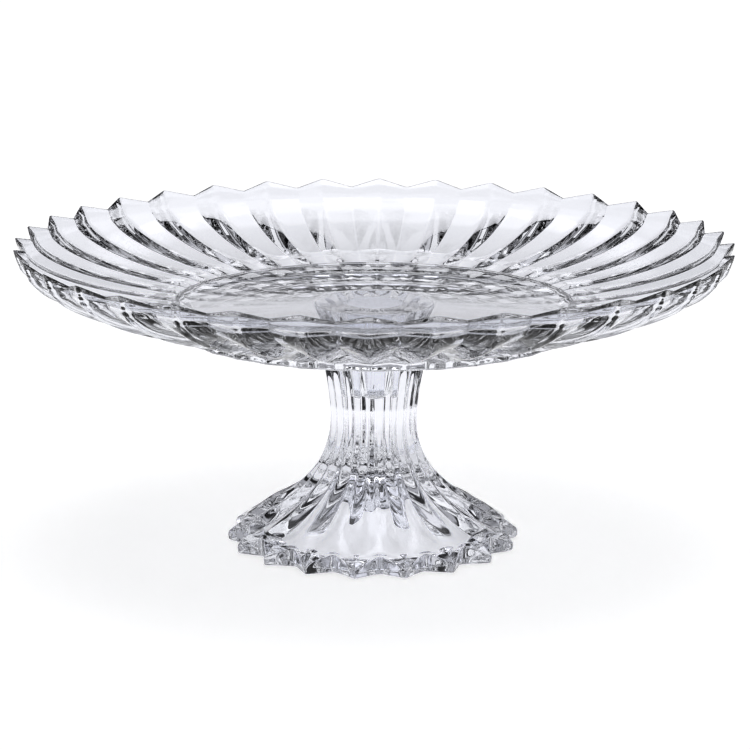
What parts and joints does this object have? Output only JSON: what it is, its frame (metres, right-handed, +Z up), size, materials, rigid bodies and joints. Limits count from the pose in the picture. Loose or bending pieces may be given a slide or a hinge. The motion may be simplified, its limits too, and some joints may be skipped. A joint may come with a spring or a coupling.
{
  "type": "cake stand",
  "caption": "Footed cake stand in clear pressed crystal: a fluted plate with a zigzag rim on a hollow fluted bell pedestal, joined by a ring of clear adhesive.",
  "frame": {"origin": "on the stand's vertical axis, in the plane that the foot rests on", "axes": "+Z up along the axis; the plate's rim has a point on +X and on +Y"},
  "size_m": [0.3048, 0.3048, 0.1309],
  "materials": {
    "plate_crystal": "fire-polished clear pressed crystal",
    "pedestal_crystal": "fire-polished clear pressed crystal",
    "clear_adhesive": "clear light-cured glass adhesive"
  },
  "bodies": {
    "root": {"cake_plate": "plate_crystal", "pedestal": "pedestal_crystal", "adhesive_ring": "clear_adhesive"}
  },
  "joints": []
}
